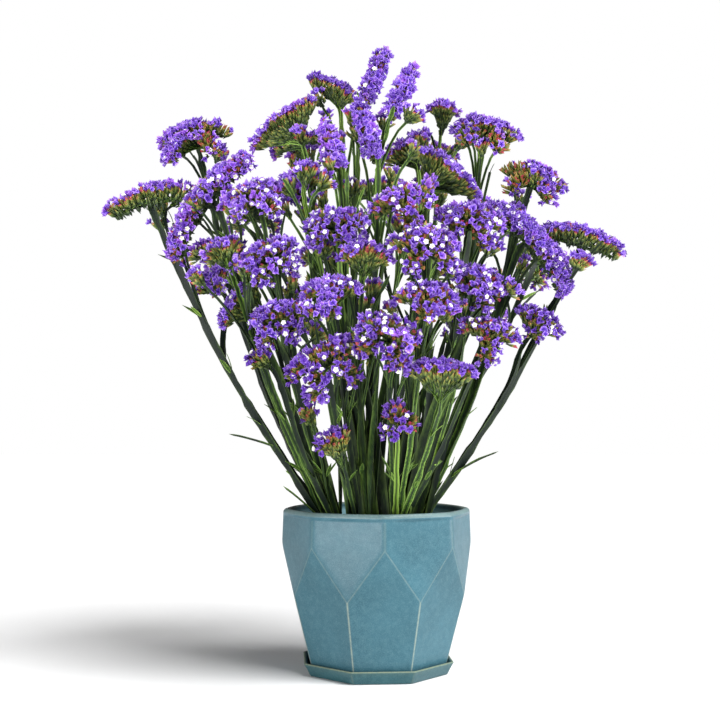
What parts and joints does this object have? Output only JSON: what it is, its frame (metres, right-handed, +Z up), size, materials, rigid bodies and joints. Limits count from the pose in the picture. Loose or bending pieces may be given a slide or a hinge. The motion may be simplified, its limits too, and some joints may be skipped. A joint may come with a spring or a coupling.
{
  "type": "potted statice",
  "caption": "Flowering statice with winged green stems and flat combs of papery violet florets, in a faceted glazed pot on an octagonal saucer.",
  "frame": {"origin": "on the pot's axis, at the flat underside of the saucer", "axes": "+Z up the plant, -Y towards the picture's viewer, +X to the viewer's right"},
  "size_m": [0.4436, 0.3131, 0.5298],
  "materials": {
    "glaze": "satin blue-green glaze with fine speckle, worn pale on the edges",
    "soil": "matt dark peat-based potting mix",
    "foliage": "matt fresh green, darker at the wing edges",
    "floret": "dry papery violet"
  },
  "bodies": {
    "root": {"saucer": "glaze", "pot": "glaze", "soil": "soil", "stems_left": "foliage", "bloom_left_arch": "floret", "bloom_left_reach": "floret", "bloom_left_crown": "floret", "bloom_left_low": "floret", "bloom_left_rear": "floret", "stems_left_front": "foliage", "bloom_flank_top": "floret", "bloom_flank_tuft": "floret", "bloom_flank_side": "floret", "bloom_flank_mid": "floret", "bloom_flank_low": "floret", "stems_front_left": "foliage", "bloom_front_left_fan": "floret", "bloom_front_left_dome": "floret", "bloom_front_mid_dome": "floret", "bloom_skirt_left": "floret", "stems_front_right": "foliage", "bloom_front_mid_fan": "floret", "bloom_front_right_dome": "floret", "bloom_front_right_top": "floret", "bloom_front_right_row": "floret", "bloom_front_right_fan": "floret", "bloom_front_right_high": "floret", "bloom_skirt_right": "floret", "stems_centre": "foliage", "bloom_centre_spike": "floret", "bloom_centre_left_spike": "floret", "bloom_centre_row": "floret", "bloom_centre_right_row": "floret", "bloom_centre_left": "floret", "stems_crown": "foliage", "bloom_top_spike": "floret", "bloom_top_right_spike": "floret", "bloom_top_left_fan": "floret", "bloom_high_left_fan": "floret", "bloom_high_mid_fan": "floret", "bloom_top_tuft": "floret", "stems_right": "foliage", "bloom_high_right_fan": "floret", "bloom_top_right": "floret", "bloom_right_crown": "floret", "bloom_right_arch": "floret", "bloom_right_reach": "floret", "bloom_right_low": "floret", "bloom_right_row": "floret", "bloom_right_rear": "floret", "stems_back": "foliage", "bloom_back_top_left": "floret", "bloom_back_top_right": "floret", "bloom_back_high": "floret", "bloom_back_left": "floret", "bloom_back_right": "floret", "bloom_back_mid_left": "floret", "bloom_back_mid_right": "floret", "bloom_back_low_left": "floret", "bloom_back_low_right": "floret"}
  },
  "joints": []
}
